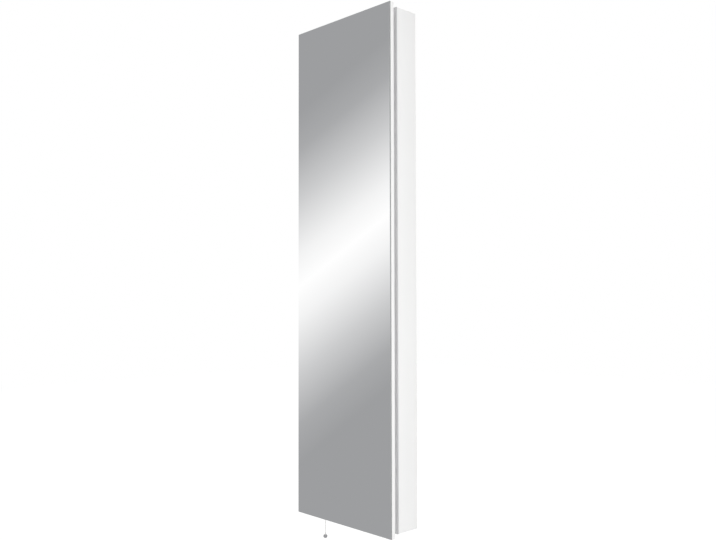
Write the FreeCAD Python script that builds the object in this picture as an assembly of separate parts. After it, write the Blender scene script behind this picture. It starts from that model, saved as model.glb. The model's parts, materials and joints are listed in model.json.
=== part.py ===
"""Tall wall-hung jewelry cabinet with a full-height mirror door and a pull-cord light.

Millimetres. X runs along the front, to the right. Y runs into the wall. Z runs up.
The origin is the centre of the wall face, midway between the four wall screws.
"""
import FreeCAD
import Part
import math
import os

V = FreeCAD.Vector

# ---- Outside sizes ---------------------------------------------------------
DOOR_WIDTH = 324.0
DOOR_HEIGHT = 1200.0
DOOR_THICKNESS = 13.0
DOOR_OVERHANG = 6.0        # the door stands past the carcass on all four sides
GRIP_GAP = 15.0            # finger channel between the door and the carcass
CARCASS_DEPTH = 64.0
PANEL = 12.0               # side, top and bottom panels
BACK_PANEL = 5.0
BACK_REBATE = 6.0          # width of the step in the side panels for the back
EDGE_ROUND = 1.5
FIT_CLEARANCE = 0.5        # loose fit of boards inside the carcass
HOLE_CLEARANCE = 0.05      # round pieces in their holes

half_w = DOOR_WIDTH / 2 - DOOR_OVERHANG
half_h = DOOR_HEIGHT / 2 - DOOR_OVERHANG
inner_w = half_w - PANEL
inner_h = half_h - PANEL
rim_y = -CARCASS_DEPTH
door_back_y = rim_y - GRIP_GAP
door_front_y = door_back_y - DOOR_THICKNESS
back_face_y = -BACK_PANEL

# ---- Front frame: the recessed neck that the door closes against -----------
FRAME_INSET = 5.0          # set in from the carcass's outer faces
FRAME_LIP = 1.0            # the bars stand this far past the flanges' inner faces
FRAME_GAP = 1.5            # to the back of the closed door
FLANGE = 2.0
FLANGE_DEPTH = 16.0
FRAME_ROUND = 1.0
RIM_TRIM = 1.0             # angle strips that cap the carcass's rim round the frame
RIM_TRIM_SIDE = 0.3        # their thickness on the carcass's outer faces
RIM_TRIM_RETURN = 2.0      # how far they reach back along those faces
FRAME_SCREW_ROWS = 5       # on each stile
FRAME_SCREW_FROM_END = 72.0
FRAME_SCREW_FROM_SIDE = 14.0
FRAME_SCREW_FROM_EDGE = 7.0

frame_out_w = half_w - FRAME_INSET
frame_in_w = inner_w - FLANGE - FRAME_LIP
frame_out_h = half_h - FRAME_INSET
frame_in_h = inner_h - FLANGE - FRAME_LIP
frame_mid_w = (frame_out_w + frame_in_w) / 2
frame_front_y = door_back_y + FRAME_GAP
flange_back_y = rim_y + FLANGE_DEPTH

# ---- Door ------------------------------------------------------------------
MIRROR_THICKNESS = 3.0
MIRROR_INSET = 0.1         # the glass ends this far inside the board's outline
MIRROR_ARRIS = 0.8
DOOR_EDGE_ROUND = 0.5

mirror_back_y = door_front_y + MIRROR_THICKNESS

# ---- Hinges ----------------------------------------------------------------
KNUCKLE_RADIUS = 3.5
HINGE_PIN_RADIUS = 1.5
HINGE_LEAF = 1.0
HINGE_STAND_OFF = 0.3      # knuckles clear of the door and of the frame
HINGE_LENGTH = 64.0
KNUCKLES = 5
KNUCKLE_GAP = 0.3
HINGE_FROM_END = 124.0
DOOR_LEAF_WIDTH = 20.0
LEAF_TO_TRIM = 0.2
HINGE_SCREW_PITCH = 20.0
HINGE_SCREW_FROM_EDGE = 4.5
HINGE_SCREW_HEAD = 0.35
HINGE_SCREW_HEAD_RADIUS = 2.1
HINGE_SCREW_LENGTH = 6.0

axis_x = -(frame_out_w + KNUCKLE_RADIUS + HINGE_STAND_OFF)
axis_y = door_back_y + KNUCKLE_RADIUS + HINGE_STAND_OFF

# ---- Screws and pins -------------------------------------------------------
SCREW_RADIUS = 1.4
SCREW_HEAD_RADIUS = 2.6
SCREW_HEAD = 1.2
SCREW_SLOT = 0.7
SCREW_SLOT_DEPTH = 0.6
SMALL_SCREW_LENGTH = 8.0
BACK_SCREW_LENGTH = 16.0
BACK_SCREW_SINK = 0.2      # heads below the wall face
BACK_SCREW_HEAD_CLEARANCE = 0.2
BACK_SCREW_FROM_SIDE = 3.2 # from a side panel's inner face
BACK_SCREW_ROWS = 4
BACK_SCREW_FROM_END = 164.0
BACK_SCREW_X = 75.0        # in the top and bottom panels
DOWEL_RADIUS = 4.0
DOWEL_LENGTH = 28.0
DOWEL_IN_SIDE = 8.0
DOWEL_FROM_RIM = 16.0
DOWEL_FROM_WALL = 18.0
SHELF_PIN_RADIUS = 2.5
SHELF_PIN_LENGTH = 14.0
SHELF_PIN_IN_SIDE = 7.0

# ---- Wall fixing and mains entry -------------------------------------------
WALL_HOLE_RADIUS = 2.75
WALL_SPACING_X = 150.0
WALL_HOLE_FROM_END = 24.0  # from the inner face of the top or bottom panel
WALL_PLATE = 1.5
WALL_PLATE_WIDTH = 30.0
WALL_PLATE_HEIGHT = 20.0
WALL_PLATE_ROUND = 3.0
GLAND_BORE_RADIUS = 4.0
GLAND_SLEEVE_RADIUS = 6.5
GLAND_FLANGE_RADIUS = 9.0
GLAND_FLANGE = 2.0

# ---- Linings and storage in the carcass ------------------------------------
SERVICE_HEIGHT = 42.0      # switch and driver space above the bottom panel
LINING = 2.5
LINING_SIDE_GAP = 12.0
LINING_TOP_GAP = 46.0
DOOR_LINING = 2.0
DOOR_LINING_SIDE_GAP = 10.0    # inside the frame's opening
DOOR_LINING_END_GAP = 23.0
RAIL_THICKNESS = 8.0
RAIL_HEIGHT = 26.0
RAIL_ROUND = 1.5
NECKLACE_RAIL_FROM_TOP = 77.0
NECKLACE_RAIL_SIDE_GAP = 4.0   # from the lining's edge
NECKLACE_HOOKS = 9
HOOK_FROM_RAIL_END = 12.0
HOOK_BELOW_MIDDLE = 3.0
HOOK_WIRE_RADIUS = 1.5
HOOK_STEM = 8.0
HOOK_BEND = 5.0
HOOK_RISE = 9.0
HOOK_TIP_RADIUS = 2.2
HOOK_BASE_RADIUS = 4.0
HOOK_BASE = 1.5
WATCH_BAR_ABOVE_TRAY = 90.0
WATCH_BAR_RADIUS = 9.0
WATCH_BAR_SIDE_GAP = 20.0
WATCH_BAR_STAND_OFF = 16.0     # lining to the middle of the bar
WATCH_BRACKET = 4.0
WATCH_BRACKET_MARGIN = 2.0
RING_TRAY_LEVEL = 0.404        # its top, as a share of the half height
RING_TRAY_SIDE_GAP = 2.0
RING_ROLLS = 8
RING_ROLL_RADIUS = 7.0
RING_ROLL_GAP = 0.3
RING_TRAY_WALL = 4.0
RING_TRAY_BASE = 2.0
RING_TRAY_FRONT = 3.7          # the walls stand this far in front of the rolls
EARRING_BARS = 4
EARRING_BAR_PITCH = 32.0
EARRING_BAR_HEIGHT = 18.0
EARRING_BAR = 2.0
EARRING_STAND_OFF = 14.0
EARRING_UPRIGHT = 4.0
EARRING_UPRIGHT_SIDE_GAP = 4.0
EARRING_UPRIGHT_FRONT = 2.0
EARRING_UPRIGHT_ROUND = 3.0
EARRING_RACK_BELOW_TRAY = 21.0
EARRING_SLOTS = 12
EARRING_SLOT_FROM_END = 19.5
EARRING_SLOT_WIDTH = 1.6
EARRING_SLOT_HEIGHT = 9.0
SHELF = 8.0
SHELF_NAMES = ("upper", "middle", "lower")
SHELF_BELOW_RACK = 54.0
SHELF_ROUND = 1.5
SHELF_RAIL_RADIUS = 2.0
SHELF_RAIL_RISE = 24.0
SHELF_RAIL_FROM_EDGE = 4.0
SHELF_RAIL_IN_SIDE = 3.0
SHELF_PIN_FROM_WALL = 20.0
SHELF_PIN_FROM_FRONT = 7.5     # from the shelf's front edge

cover_top = -inner_h + SERVICE_HEIGHT
service_mid_z = (cover_top - inner_h) / 2
lining_y = back_face_y - LINING
lining_half_w = inner_w - LINING_SIDE_GAP
lining_top = inner_h - LINING_TOP_GAP
door_lining_half_w = frame_in_w - DOOR_LINING_SIDE_GAP
door_lining_half_h = frame_in_h - DOOR_LINING_END_GAP
necklace_rail_z = inner_h - NECKLACE_RAIL_FROM_TOP
ring_tray_top = RING_TRAY_LEVEL * half_h
ring_roll_pitch = 2 * RING_ROLL_RADIUS + RING_ROLL_GAP
ring_tray_bottom = ring_tray_top - RING_ROLLS * ring_roll_pitch - RING_ROLL_GAP - 2 * RING_TRAY_WALL
earring_levels = [
    ring_tray_bottom - EARRING_RACK_BELOW_TRAY - EARRING_BAR_HEIGHT - i * EARRING_BAR_PITCH
    for i in range(EARRING_BARS)
]
shelf_front_y = flange_back_y + FIT_CLEARANCE
shelf_rail_y = shelf_front_y + SHELF_RAIL_FROM_EDGE
shelf_start = earring_levels[-1] - EARRING_BAR_HEIGHT - SHELF_BELOW_RACK
shelf_pitch = (shelf_start - cover_top) / len(SHELF_NAMES)
shelf_tops = {name: shelf_start - i * shelf_pitch for i, name in enumerate(SHELF_NAMES)}

# ---- Service space at the bottom: switch, driver and terminals -------------
COVER_SHEET = 1.5
COVER_ROUND = 1.2
COVER_EAR_FROM_RIM = 28.0
COVER_EAR_WIDTH = 16.0
COVER_EAR_HEIGHT = 20.0
CORD_FROM_SIDE = 17.0      # from the left side panel's inner face
CORD_RADIUS = 0.9
CORD_FREE_LENGTH = 60.0
KNOB_RADIUS = 5.0
KNOB_COLLAR_RADIUS = 2.2
KNOB_COLLAR_EDGE = 0.5
KNOB_COLLAR = 4.0
SWITCH_WIDTH = 26.0
SWITCH_HEIGHT = 32.0
SWITCH_WALL = 1.5
SWITCH_LID = 2.0
SLIDER_SIZE = 14.0
SLIDER_HEIGHT = 6.0
SLIDER_ROUND = 1.0
SLIDER_TOP_GAP = 0.3
SPRING_RADIUS = 5.0
SPRING_WIRE = 0.45
SPRING_TURNS = 6
SPRING_END_GAP = 0.1
SHORTEST_RUN = 1e-6        # shorter straight runs between two arcs are left out
HOUSING_HOLE_RADIUS = 3.0
BUSH_BORE_RADIUS = 1.6
BUSH_SLEEVE_RADIUS = 4.0
BUSH_FLANGE_RADIUS = 8.0
BUSH_FLANGE = 2.0
BUSH_ROUND = 1.2
SERVICE_BACK_GAP = 2.0     # driver and terminals stand this far off the lining's plane
DRIVER_LENGTH = 100.0
DRIVER_FROM_COVER = 6.5    # behind the cover's apron
DRIVER_HEIGHT = 22.0
DRIVER_SIDE_GAP = 18.0     # to the right side panel
DRIVER_ROUND = 2.0
TERMINALS_LENGTH = 34.0
TERMINALS_DEPTH = 16.0
TERMINALS_HEIGHT = 14.0
TERMINALS_LEFT = -62.0
TERMINAL_WAYS = 3
TERMINAL_HOLE_RADIUS = 1.8
TERMINAL_HOLE_DEPTH = 3.0
LEAD_RADIUS = 1.5
LEAD_HEIGHT = 7.0          # above the bottom panel
LEAD_BEND = 6.0

cord_x = -(inner_w - CORD_FROM_SIDE)
cord_y = (rim_y + DOWEL_FROM_RIM - DOWEL_FROM_WALL) / 2     # midway between the corner dowels
service_back_y = lining_y - SERVICE_BACK_GAP
driver_front_y = shelf_front_y + COVER_SHEET + DRIVER_FROM_COVER
driver_right = inner_w - DRIVER_SIDE_GAP
driver_left = driver_right - DRIVER_LENGTH
terminals_right = TERMINALS_LEFT + TERMINALS_LENGTH

# ---- Lamp and its trunking -------------------------------------------------
LAMP_SIDE_GAP = 26.0
LAMP_WIDTH = 22.0
LAMP_HEIGHT = 14.0
LAMP_WALL = 1.2
LAMP_FROM_RIM = 16.0       # to the middle of the lamp
LAMP_CAP = 2.0
LAMP_CAP_ROUND = 0.8
DIFFUSER = 2.0
DIFFUSER_LIP = 0.5         # above the housing's lower edge
DIFFUSER_DROP = 1.5        # below the housing's lower edge
DIFFUSER_CLEARANCE = 0.1
LED_BOARD = 1.2
LED_BOARD_WIDTH = 10.0
LED_BOARD_END_GAP = 4.0
LED_CHIP_FROM_END = 10.0
LED_CHIPS = 16
LED_CHIP_LENGTH = 5.0
LED_CHIP_WIDTH = 2.8
LED_CHIP_HEIGHT = 0.9
TRUNKING_WIDTH = 9.5
TRUNKING_DEPTH = 9.0
TRUNKING_WALL = 1.0
TRUNKING_TOP_GAP = 22.0
TRUNKING_BELOW_COVER = 4.0

lamp_half = inner_w - LAMP_SIDE_GAP
lamp_y = rim_y + LAMP_FROM_RIM
trunking_top = inner_h - TRUNKING_TOP_GAP
trunking_bottom = cover_top - COVER_SHEET - TRUNKING_BELOW_COVER

# ---- Storage on the back of the door ---------------------------------------
DOOR_RAIL_FROM_TOP = 112.0
DOOR_RAIL_SIDE_GAP = 19.0
DOOR_HOOKS = 6
DOOR_HOOK_FROM_RAIL_END = 17.0
DOOR_HOOK_STEM = 4.0
DOOR_HOOK_BEND = 4.0
DOOR_TRAY_SIDE_GAP = 18.0
DOOR_TRAY_HEIGHT = 44.0
DOOR_TRAY_DEPTH = 18.0
DOOR_TRAY_WALL = 2.0
DOOR_TRAY_ROUND = 3.0
DOOR_TRAY_LEVELS = (0.11, -0.27, -0.65)    # bottoms, as shares of the lining's half height

door_rail_z = inner_h - DOOR_RAIL_FROM_TOP
door_lined_y = door_back_y + DOOR_LINING

# ---- Catches and bumpers ---------------------------------------------------
MAGNET_WIDTH = 8.0
MAGNET_DEPTH = 5.0
MAGNET_HEIGHT = 22.0
STRIKE_WIDTH = 9.0
STRIKE = 1.0
STRIKE_HEIGHT = 26.0
CATCH_FROM_END = 42.0
BUMPER_RADIUS = 4.0
BUMPER = 1.3
BUMPER_FROM_END = 67.0

catch_z = inner_h - CATCH_FROM_END
bumper_z = inner_h - BUMPER_FROM_END

NODES = {}


def keep(name, *shapes):
    """Stores one node: a single solid, or a group of separate ones."""
    solids = [solid for shape in shapes for solid in shape.Solids]
    NODES[name] = Part.makeCompound(solids) if len(solids) > 1 else solids[0]


def block(x0, x1, y0, y1, z0, z1):
    return Part.makeBox(x1 - x0, y1 - y0, z1 - z0, V(x0, y0, z0))


def edges_along(shape, direction, test):
    """Straight edges that run along a direction and whose middle passes the test."""
    found = []
    for edge in shape.Edges:
        if len(edge.Vertexes) == 2 and isinstance(edge.Curve, (Part.Line, Part.LineSegment)):
            run = edge.Vertexes[1].Point.sub(edge.Vertexes[0].Point)
            if abs(abs(run.normalize().dot(direction)) - 1) < 1e-6 and test(edge.CenterOfMass):
                found.append(edge)
    return found


def near(value, target):
    return abs(value - target) < 1e-4


def cylinder(radius, length, start, direction):
    return Part.makeCylinder(radius, length, start, direction)


def mirrored_x(shape):
    return shape.mirror(V(0, 0, 0), V(1, 0, 0))


def screw(at, into, length):
    """Pan-head cross-slot screw: at is the middle of the head's seat, into its direction."""
    into = V(into).normalize()
    head = cylinder(SCREW_HEAD_RADIUS, SCREW_HEAD, at - into * SCREW_HEAD, into)
    rim = [e for e in head.Edges if near((e.CenterOfMass - (at - into * SCREW_HEAD)).Length, 0)]
    head = head.makeFillet(SCREW_HEAD * 0.5, rim)
    body = head.fuse(cylinder(SCREW_RADIUS, length, at, into))
    across = into.cross(V(0, 0, 1) if abs(into.z) < 0.5 else V(1, 0, 0)).normalize()
    for way in (across, into.cross(across)):
        other = into.cross(way)
        half = SCREW_HEAD_RADIUS * 0.6
        corner = at - into * SCREW_HEAD - way * half - other * (SCREW_SLOT / 2)
        points = [
            corner,
            corner + way * 2 * half,
            corner + way * 2 * half + other * SCREW_SLOT,
            corner + other * SCREW_SLOT,
            corner,
        ]
        slot = Part.Face(Part.makePolygon(points)).extrude(into * SCREW_SLOT_DEPTH)
        body = body.cut(slot)
    return body


def screw_hole(at, into, length):
    into = V(into).normalize()
    return cylinder(SCREW_RADIUS + HOLE_CLEARANCE, length + HOLE_CLEARANCE, at, into)


def tube_path(points, radii):
    """One wire of straight runs joined by tangent arcs, one radius for each inner point."""
    edges = []
    start = points[0]
    for corner, radius, last, following in zip(points[1:], radii, points, points[2:]):
        before = (last - corner).normalize()
        after = (following - corner).normalize()
        half_angle = math.acos(max(-1.0, min(1.0, before.dot(after)))) / 2
        reach = radius / math.tan(half_angle)
        middle = corner + (before + after).normalize() * (radius / math.sin(half_angle) - radius)
        first = corner + before * reach
        if (first - start).Length > SHORTEST_RUN:
            edges.append(Part.LineSegment(start, first).toShape())
        start = corner + after * reach
        edges.append(Part.Arc(first, middle, start).toShape())
    if (points[-1] - start).Length > SHORTEST_RUN:
        edges.append(Part.LineSegment(start, points[-1]).toShape())
    return Part.Wire(edges)


def tube(points, radii, radius):
    path = tube_path(points, radii)
    along = (points[1] - points[0]).normalize()
    profile = Part.Wire(Part.makeCircle(radius, points[0], along))
    return path.makePipeShell([profile], True, False)


# ---- Carcass ---------------------------------------------------------------
def spread(count, reach):
    """Evenly spaced values from -reach to reach."""
    return [reach * (2 * i / (count - 1) - 1) for i in range(count)]


def dowels():
    """Start and direction of the two dowels at each end of the top and bottom panels."""
    made = []
    for side in (-1, 1):
        for level in (-1, 1):
            for y in (rim_y + DOWEL_FROM_RIM, -DOWEL_FROM_WALL):
                start = V(side * (inner_w + DOWEL_IN_SIDE), y, level * (half_h - PANEL / 2))
                made.append((start, V(-side, 0, 0)))
    return made


def back_screw_places():
    """Places on the wall face of the screws through the back panel."""
    x = inner_w + BACK_SCREW_FROM_SIDE
    rows = spread(BACK_SCREW_ROWS, half_h - BACK_SCREW_FROM_END)
    places = [V(side * x, 0, z) for side in (-1, 1) for z in rows]
    end_z = half_h - PANEL / 2
    places += [V(side * BACK_SCREW_X, 0, level * end_z) for level in (-1, 1) for side in (-1, 1)]
    return places


def shelf_pin_places():
    return [
        V(side * (inner_w + SHELF_PIN_IN_SIDE), y, top - SHELF - SHELF_PIN_RADIUS)
        for top in shelf_tops.values()
        for side in (-1, 1)
        for y in (-SHELF_PIN_FROM_WALL, shelf_front_y + SHELF_PIN_FROM_FRONT)
    ]


def frame_screw_places():
    """Screws through the frame's flanges into the panels behind, as seat and direction."""
    y = flange_back_y - FRAME_SCREW_FROM_EDGE
    rows = spread(FRAME_SCREW_ROWS, inner_h - FRAME_SCREW_FROM_END)
    x = inner_w - FRAME_SCREW_FROM_SIDE
    places = [(V(side * (inner_w - FLANGE), y, z), V(side, 0, 0)) for side in (-1, 1) for z in rows]
    places += [
        (V(side * x, y, level * (inner_h - FLANGE)), V(0, 0, level)) for level in (-1, 1) for side in (-1, 1)
    ]
    return places


def cover_screw_places():
    """Screws that hold the service cover's ears to the side panels."""
    x = inner_w - FIT_CLEARANCE - COVER_SHEET
    y = rim_y + COVER_EAR_FROM_RIM + COVER_EAR_WIDTH / 2
    z = cover_top - COVER_EAR_HEIGHT * 0.6
    return [(V(side * x, y, z), V(side, 0, 0)) for side in (-1, 1)]


def side_panel():
    """Right side panel: full height, with a step for the back at its rear inner edge."""
    panel = block(inner_w, half_w, rim_y, 0, -half_h, half_h)
    outer = edges_along(panel, V(0, 0, 1), lambda c: near(c.x, half_w))
    ends = [e for e in panel.Edges if near(e.CenterOfMass.x, half_w) and not near(e.CenterOfMass.z, 0)]
    panel = panel.makeFillet(EDGE_ROUND, outer + ends)
    panel = panel.cut(block(inner_w - 1, inner_w + BACK_REBATE, back_face_y, 1, -half_h - 1, half_h + 1))
    for start, into in dowels():
        if start.x > 0:
            panel = panel.cut(cylinder(DOWEL_RADIUS + HOLE_CLEARANCE, DOWEL_IN_SIDE + 1, start, into))
    for place in back_screw_places():
        if place.x > inner_w:
            seat = V(place.x, back_face_y, place.z)
            panel = panel.cut(screw_hole(seat, V(0, -1, 0), BACK_SCREW_LENGTH))
    for place in shelf_pin_places():
        if place.x > 0:
            hole = cylinder(SHELF_PIN_RADIUS + HOLE_CLEARANCE, SHELF_PIN_IN_SIDE + 1, place, V(-1, 0, 0))
            panel = panel.cut(hole)
    for top in shelf_tops.values():
        start = V(inner_w + SHELF_RAIL_IN_SIDE, shelf_rail_y, top + SHELF_RAIL_RISE)
        hole = cylinder(SHELF_RAIL_RADIUS + HOLE_CLEARANCE, SHELF_RAIL_IN_SIDE + 1, start, V(-1, 0, 0))
        panel = panel.cut(hole)
    for seat, into in frame_screw_places() + cover_screw_places():
        if into.x > 0:
            panel = panel.cut(screw_hole(seat, into, SMALL_SCREW_LENGTH))
    return panel


def end_panel(level):
    """Top (level 1) or bottom (level -1) panel, between the sides and in front of the back."""
    z0, z1 = sorted((level * inner_h, level * half_h))
    panel = block(-inner_w, inner_w, rim_y, back_face_y, z0, z1)
    for start, into in dowels():
        if start.z * level > 0:
            panel = panel.cut(cylinder(DOWEL_RADIUS + HOLE_CLEARANCE, DOWEL_LENGTH + 1, start, into))
    for place in back_screw_places():
        if abs(place.x) < inner_w and place.z * level > 0:
            seat = V(place.x, back_face_y, place.z)
            panel = panel.cut(screw_hole(seat, V(0, -1, 0), BACK_SCREW_LENGTH))
    for seat, into in frame_screw_places():
        if into.z * level > 0.5:
            panel = panel.cut(screw_hole(seat, into, SMALL_SCREW_LENGTH))
    if level < 0:
        start = V(cord_x, cord_y, -half_h - 1)
        panel = panel.cut(cylinder(BUSH_SLEEVE_RADIUS + HOLE_CLEARANCE, PANEL + 2, start, V(0, 0, 1)))
    return panel


def wall_holes():
    z = inner_h - WALL_HOLE_FROM_END
    return [V(side * WALL_SPACING_X / 2, 0, level * z) for side in (-1, 1) for level in (-1, 1)]


def back_panel():
    width = inner_w + BACK_REBATE - FIT_CLEARANCE
    panel = block(-width, width, back_face_y, 0, -half_h, half_h)
    holes = [(hole, WALL_HOLE_RADIUS) for hole in wall_holes()]
    holes.append((V(0, 0, service_mid_z), GLAND_SLEEVE_RADIUS + HOLE_CLEARANCE))
    holes += [(place, SCREW_RADIUS + HOLE_CLEARANCE) for place in back_screw_places()]
    for place, radius in holes:
        panel = panel.cut(cylinder(radius, BACK_PANEL + 2, place + V(0, 1, 0), V(0, -1, 0)))
    sink_radius = SCREW_HEAD_RADIUS + BACK_SCREW_HEAD_CLEARANCE
    for place in back_screw_places():
        panel = panel.cut(cylinder(sink_radius, SCREW_HEAD + BACK_SCREW_SINK, place, V(0, -1, 0)))
    return panel


def make_carcass():
    right = side_panel()
    keep("right_side_panel", right)
    keep("left_side_panel", mirrored_x(right))
    keep("top_panel", end_panel(1))
    keep("bottom_panel", end_panel(-1))
    keep("back_panel", back_panel())
    keep("corner_dowels", *[cylinder(DOWEL_RADIUS, DOWEL_LENGTH, start, into) for start, into in dowels()])
    sunk = V(0, -SCREW_HEAD - BACK_SCREW_SINK, 0)
    keep(
        "back_panel_screws",
        *[screw(place + sunk, V(0, -1, 0), BACK_SCREW_LENGTH) for place in back_screw_places()],
    )


def make_wall_fixing():
    plates = []
    for hole in wall_holes():
        plate = block(
            hole.x - WALL_PLATE_WIDTH / 2,
            hole.x + WALL_PLATE_WIDTH / 2,
            back_face_y - WALL_PLATE,
            back_face_y,
            hole.z - WALL_PLATE_HEIGHT / 2,
            hole.z + WALL_PLATE_HEIGHT / 2,
        )
        plate = plate.makeFillet(WALL_PLATE_ROUND, edges_along(plate, V(0, 1, 0), lambda c: True))
        plates.append(plate.cut(cylinder(WALL_HOLE_RADIUS, BACK_PANEL * 3, hole + V(0, 1, 0), V(0, -1, 0))))
    keep("wall_plates", *plates)
    start = V(0, 0, service_mid_z)
    gland = cylinder(GLAND_SLEEVE_RADIUS, BACK_PANEL, start, V(0, -1, 0))
    flange = cylinder(GLAND_FLANGE_RADIUS, GLAND_FLANGE, start + V(0, back_face_y, 0), V(0, -1, 0))
    gland = gland.fuse(flange)
    gland = gland.cut(cylinder(GLAND_BORE_RADIUS, BACK_PANEL * 3, start + V(0, 1, 0), V(0, -1, 0)))
    keep("cable_gland", gland.removeSplitter())


# ---- Front frame -----------------------------------------------------------
def magnet(z, clearance):
    """A catch magnet in the front face of the right stile, grown by a clearance."""
    half = MAGNET_WIDTH / 2 + clearance
    rise = MAGNET_HEIGHT / 2 + clearance
    back = frame_front_y + MAGNET_DEPTH + clearance
    return block(frame_mid_w - half, frame_mid_w + half, frame_front_y - clearance, back, z - rise, z + rise)


def stile():
    """Right stile of the front frame: a bar on the carcass's rim with a flange inside."""
    bar = block(frame_in_w, frame_out_w, frame_front_y, rim_y, -frame_out_h, frame_out_h)
    front = edges_along(bar, V(0, 0, 1), lambda c: near(c.y, frame_front_y))
    bar = bar.makeFillet(FRAME_ROUND, front)
    flange = block(
        inner_w - FLANGE, inner_w, rim_y, flange_back_y, -inner_h + FIT_CLEARANCE, inner_h - FIT_CLEARANCE
    )
    profile = bar.fuse(flange).removeSplitter()
    for seat, into in frame_screw_places():
        if into.x > 0:
            profile = profile.cut(screw_hole(seat - into, into, FLANGE + 2))
    return profile


def rail(level):
    """Top or bottom rail of the front frame, between the stiles."""
    z0, z1 = sorted((level * frame_in_h, level * frame_out_h))
    bar = block(-frame_in_w, frame_in_w, frame_front_y, rim_y, z0, z1)
    front = edges_along(bar, V(1, 0, 0), lambda c: near(c.y, frame_front_y))
    bar = bar.makeFillet(FRAME_ROUND, front)
    f0, f1 = sorted((level * (inner_h - FLANGE), level * inner_h))
    reach = inner_w - FLANGE - FIT_CLEARANCE
    profile = bar.fuse(block(-reach, reach, rim_y, flange_back_y, f0, f1)).removeSplitter()
    for seat, into in frame_screw_places():
        if into.z * level > 0.5:
            profile = profile.cut(screw_hole(seat - into, into, FLANGE + 2))
    return profile


def make_rim_trims():
    """Angle strips that cap the carcass's rim, from the frame's bars round to its outer faces."""
    front, back = rim_y - RIM_TRIM, rim_y + RIM_TRIM_RETURN
    out_w = half_w + RIM_TRIM_SIDE
    out_h = half_h + RIM_TRIM_SIDE
    rim = block(-half_w, half_w, rim_y, back, -half_h, half_h)
    strips = []
    for side in (-1, 1):
        x0, x1 = sorted((side * frame_out_w, side * out_w))
        strips.append(block(x0, x1, front, back, -out_h, out_h))
        z0, z1 = sorted((side * frame_out_h, side * out_h))
        strips.append(block(-frame_out_w, frame_out_w, front, back, z0, z1))
    keep("rim_trims", *[strip.cut(rim) for strip in strips])


def hinge_screw_places():
    """Seats of the hinge screws on the frame leaves and on the door leaves."""
    frame, door = [], []
    frame_y = (axis_y + KNUCKLE_RADIUS + rim_y) / 2
    door_x = axis_x + DOOR_LEAF_WIDTH - HINGE_SCREW_FROM_EDGE
    for z in hinge_levels():
        for step in (-1, 0, 1):
            level = z + step * HINGE_SCREW_PITCH
            frame.append((V(-frame_out_w - HINGE_LEAF, frame_y, level), V(1, 0, 0)))
            door.append((V(door_x, door_back_y + HINGE_LEAF, level), V(0, -1, 0)))
    return frame, door


def hinge_levels():
    return spread(3, half_h - HINGE_FROM_END)


def make_front_frame():
    right = stile()
    left = mirrored_x(right)
    for seat, into in hinge_screw_places()[0]:
        left = left.cut(screw_hole(seat, into, HINGE_SCREW_LENGTH))
    for z in (-catch_z, catch_z):
        right = right.cut(magnet(z, HOLE_CLEARANCE))
    keep("frame_left_stile", left)
    keep("frame_right_stile", right)
    keep("frame_top_rail", rail(1))
    keep("frame_bottom_rail", rail(-1))
    keep("catch_magnets", *[magnet(z, 0.0) for z in (-catch_z, catch_z)])
    places = frame_screw_places() + cover_screw_places()
    keep("frame_and_cover_screws", *[screw(seat, into, SMALL_SCREW_LENGTH) for seat, into in places])


# ---- Hinges ----------------------------------------------------------------
def hinge_leaf(z, plate, first):
    """A leaf with every other knuckle. first is 0 for the frame leaf and 1 for the door leaf."""
    step = HINGE_LENGTH / KNUCKLES
    ease = V(0, 0, KNUCKLE_GAP / 2)
    up = V(0, 0, 1)
    leaf = plate
    low = z - HINGE_LENGTH / 2
    for i in range(KNUCKLES):
        start = V(axis_x, axis_y, low + i * step)
        if i % 2 == first:
            leaf = leaf.fuse(cylinder(KNUCKLE_RADIUS, step - KNUCKLE_GAP, start + ease, up))
        else:
            space = cylinder(KNUCKLE_RADIUS + HINGE_STAND_OFF, step + KNUCKLE_GAP, start - ease, up)
            leaf = leaf.cut(space)
    bore = cylinder(HINGE_PIN_RADIUS + HOLE_CLEARANCE, HINGE_LENGTH + 2, V(axis_x, axis_y, low - 1), up)
    return leaf.cut(bore).removeSplitter()


def make_hinges():
    frame_leaves, door_leaves, pins = [], [], []
    frame_screws, door_screws = hinge_screw_places()
    for z in hinge_levels():
        z0, z1 = z - HINGE_LENGTH / 2, z + HINGE_LENGTH / 2
        plate = block(-frame_out_w - HINGE_LEAF, -frame_out_w, axis_y, rim_y - RIM_TRIM - LEAF_TO_TRIM, z0, z1)
        leaf = hinge_leaf(z, plate, 0)
        for seat, into in frame_screws:
            leaf = leaf.cut(screw_hole(seat - into, into, HINGE_LEAF + 2))
        frame_leaves.append(leaf)
        plate = block(axis_x, axis_x + DOOR_LEAF_WIDTH, door_back_y, door_back_y + HINGE_LEAF, z0, z1)
        leaf = hinge_leaf(z, plate, 1)
        for seat, into in door_screws:
            leaf = leaf.cut(screw_hole(seat - into, into, HINGE_LEAF + 2))
        door_leaves.append(leaf)
        pins.append(cylinder(HINGE_PIN_RADIUS, HINGE_LENGTH, V(axis_x, axis_y, z0), V(0, 0, 1)))
    keep("hinge_frame_leaves", *frame_leaves)
    keep("hinge_door_leaves", *door_leaves)
    keep("hinge_pins", *pins)
    keep("hinge_frame_screws", *[flat_screw(seat, into) for seat, into in frame_screws])
    keep("hinge_door_screws", *[flat_screw(seat, into) for seat, into in door_screws])


def flat_screw(seat, into):
    """Thin-headed hinge screw, so that the door still closes over it."""
    head = cylinder(HINGE_SCREW_HEAD_RADIUS, HINGE_SCREW_HEAD, seat - into * HINGE_SCREW_HEAD, into)
    return head.fuse(cylinder(SCREW_RADIUS, HINGE_SCREW_LENGTH, seat, into)).removeSplitter()


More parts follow.
